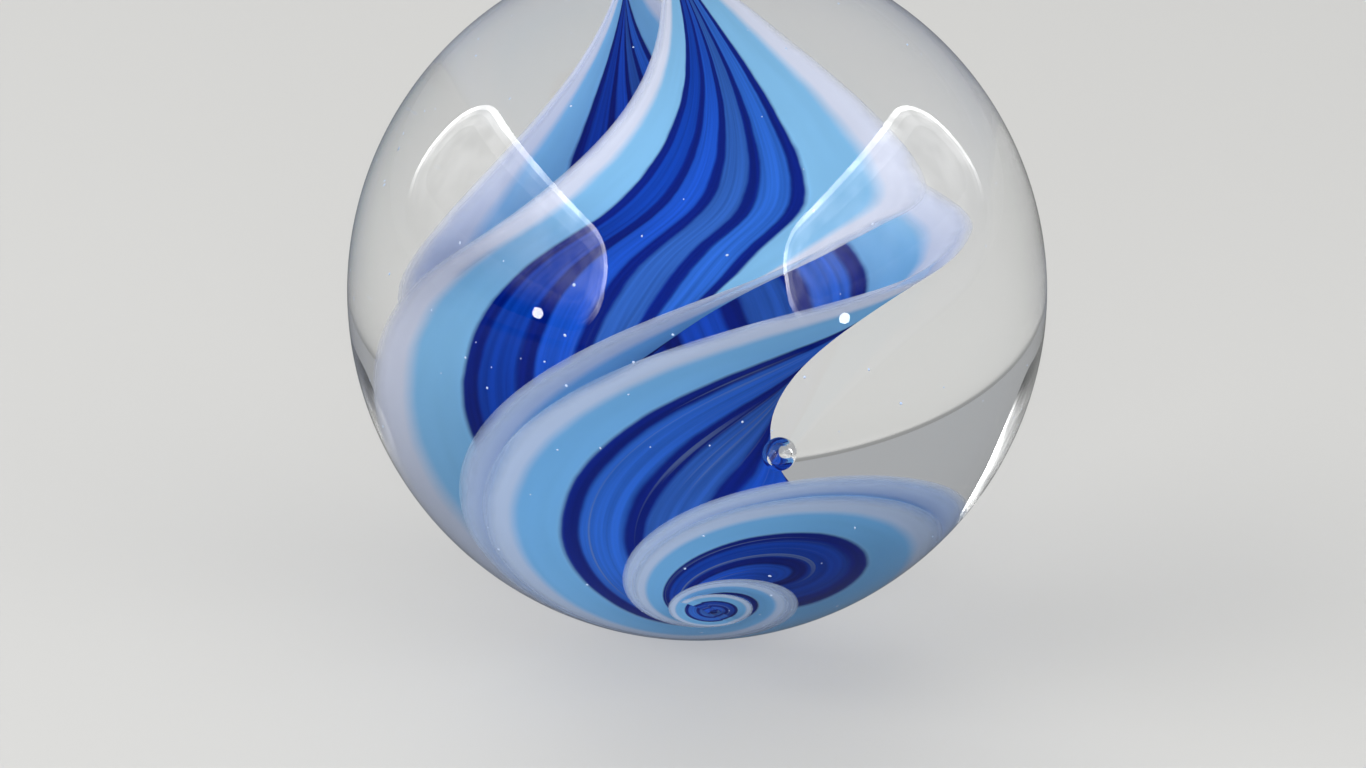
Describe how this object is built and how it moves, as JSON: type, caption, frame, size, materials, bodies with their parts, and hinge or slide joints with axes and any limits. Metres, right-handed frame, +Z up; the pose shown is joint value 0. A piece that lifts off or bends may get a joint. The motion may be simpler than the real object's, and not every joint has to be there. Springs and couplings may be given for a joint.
{
  "type": "glass marble",
  "caption": "Clear glass marble around a twisted core of blue ribbons with dark lines, light blue borders and white edges, wound into a whirl near the bottom.",
  "frame": {"origin": "centre of the ball", "axes": "+Z up, towards the side where the core's narrow upper end lies; -Y towards the front, where the whirl shows low down"},
  "size_m": [0.032, 0.032, 0.032],
  "materials": {
    "clear_glass": "polished clear glass",
    "blue_glass": "royal blue glass under clear glass",
    "dark_blue_glass": "dark blue glass under clear glass",
    "light_blue_glass": "milky light blue glass under clear glass",
    "white_glass": "milky white glass under clear glass"
  },
  "bodies": {
    "root": {"clear_ball": "clear_glass", "front_ribbon_blue_lanes": "blue_glass", "front_ribbon_dark_lines": "dark_blue_glass", "front_ribbon_light_borders": "light_blue_glass", "front_ribbon_white_edges": "white_glass", "rear_ribbon_blue_lanes": "blue_glass", "rear_ribbon_dark_lines": "dark_blue_glass", "rear_ribbon_light_borders": "light_blue_glass", "rear_ribbon_white_edges": "white_glass"}
  },
  "joints": []
}
